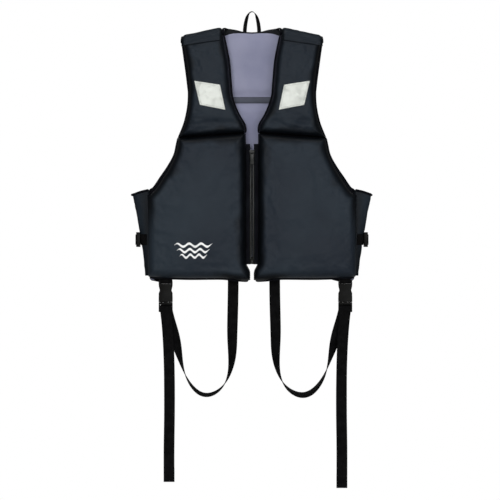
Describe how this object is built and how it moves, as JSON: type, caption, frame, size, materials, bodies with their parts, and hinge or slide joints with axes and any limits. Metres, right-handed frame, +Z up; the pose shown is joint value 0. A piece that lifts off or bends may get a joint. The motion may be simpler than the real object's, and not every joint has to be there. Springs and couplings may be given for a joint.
{
  "type": "foam buoyancy vest",
  "caption": "Hanging foam life jacket with a front zip, padded chest and back panels, reflective patches, waist adjusters and buckled crotch straps.",
  "frame": {"origin": "inside of the hang loop's crown, where a hook carries the vest", "axes": "+Z up along the body, +X towards the wearer's left, front of the vest towards -Y"},
  "size_m": [0.546, 0.1002, 1.0962],
  "materials": {
    "shell": "coated nylon",
    "lining": "plain weave",
    "binding": "ribbed tape",
    "foam": "closed-cell foam",
    "webbing": "woven webbing",
    "reflective": "retroreflective sheet",
    "plastic": "moulded satin",
    "zip": "moulded satin"
  },
  "bodies": {
    "back": {"back_cover_upper": "shell", "back_cover_lower": "shell", "back_foam_upper": "foam", "back_foam_lower": "foam", "back_lining": "lining", "neck_binding": "binding", "hang_loop": "webbing", "shoulder_cover_left": "shell", "shoulder_foam_left": "foam", "shoulder_lining_left": "lining", "shoulder_yoke_left": "shell", "armhole_binding_left": "binding", "lapel_binding_left": "binding", "reflective_patch_left": "reflective", "side_gusset_left": "shell", "waist_webbing_left": "webbing", "socket_tab_left": "webbing", "buckle_socket_left": "plastic", "crotch_strap_left": "webbing", "shoulder_cover_right": "shell", "shoulder_foam_right": "foam", "shoulder_lining_right": "lining", "shoulder_yoke_right": "shell", "armhole_binding_right": "binding", "lapel_binding_right": "binding", "reflective_patch_right": "reflective", "side_gusset_right": "shell", "waist_webbing_right": "webbing", "socket_tab_right": "webbing", "buckle_socket_right": "plastic", "crotch_strap_right": "webbing"},
    "front_left": {"chest_cover_left": "shell", "chest_foam_left": "foam", "chest_lining_left": "lining", "zip_tape_left": "binding", "zip_teeth_left": "zip", "zip_pin": "zip"},
    "plug_left": {"buckle_plug_left": "plastic", "strap_tail_left": "webbing"},
    "arm_outer_left": {"plug_arm_outer_left": "plastic"},
    "arm_inner_left": {"plug_arm_inner_left": "plastic"},
    "adjuster_left": {"waist_adjuster_left": "plastic"},
    "front_right": {"chest_cover_right": "shell", "chest_foam_right": "foam", "chest_lining_right": "lining", "zip_tape_right": "binding", "zip_teeth_right": "zip", "zip_box": "zip"},
    "plug_right": {"buckle_plug_right": "plastic", "strap_tail_right": "webbing"},
    "arm_outer_right": {"plug_arm_outer_right": "plastic"},
    "arm_inner_right": {"plug_arm_inner_right": "plastic"},
    "adjuster_right": {"waist_adjuster_right": "plastic"},
    "slider": {"zip_slider": "zip", "zip_slider_rear": "zip"},
    "pull": {"zip_pull": "zip"}
  },
  "joints": [
    {"name": "front_left_swing", "type": "hinge", "parent": "back", "child": "front_left", "pos_m": [0.241, -0.0457, -0.45], "axis": [0, 0, 1], "range_deg": [0, 60]},
    {"name": "buckle_left_release", "type": "slide", "parent": "back", "child": "plug_left", "axis": [0, 0, -1], "range_m": [0, 0.045]},
    {"name": "latch_outer_left", "type": "hinge", "parent": "plug_left", "child": "arm_outer_left", "pos_m": [0.2244, -0.0361, -0.6755], "axis": [0, -1, 0], "range_deg": [0, 5], "stiffness_Nm_per_rad": 0.3},
    {"name": "latch_inner_left", "type": "hinge", "parent": "plug_left", "child": "arm_inner_left", "pos_m": [0.2056, -0.0361, -0.6755], "axis": [0, 1, 0], "range_deg": [0, 5], "stiffness_Nm_per_rad": 0.3},
    {"name": "adjuster_left_tilt", "type": "hinge", "parent": "back", "child": "adjuster_left", "pos_m": [0.26153, -0.0196, -0.53], "axis": [0, 0, 1], "range_deg": [0, 30]},
    {"name": "front_right_swing", "type": "hinge", "parent": "back", "child": "front_right", "pos_m": [-0.241, -0.0457, -0.45], "axis": [0, 0, -1], "range_deg": [0, 60]},
    {"name": "buckle_right_release", "type": "slide", "parent": "back", "child": "plug_right", "axis": [0, 0, -1], "range_m": [0, 0.045]},
    {"name": "latch_outer_right", "type": "hinge", "parent": "plug_right", "child": "arm_outer_right", "pos_m": [-0.2084, -0.0361, -0.6755], "axis": [0, 1, 0], "range_deg": [0, 5], "stiffness_Nm_per_rad": 0.3},
    {"name": "latch_inner_right", "type": "hinge", "parent": "plug_right", "child": "arm_inner_right", "pos_m": [-0.1896, -0.0361, -0.6755], "axis": [0, -1, 0], "range_deg": [0, 5], "stiffness_Nm_per_rad": 0.3},
    {"name": "adjuster_right_tilt", "type": "hinge", "parent": "back", "child": "adjuster_right", "pos_m": [-0.26153, -0.0196, -0.53], "axis": [0, 0, -1], "range_deg": [0, 30]},
    {"name": "zip_slide", "type": "slide", "parent": "front_right", "child": "slider", "axis": [0, 0, -1], "range_m": [0, 0.215]},
    {"name": "zip_pull_flip", "type": "hinge", "parent": "slider", "child": "pull", "pos_m": [0, -0.0517, -0.331], "axis": [-1, 0, 0], "range_deg": [0, 150]}
  ]
}
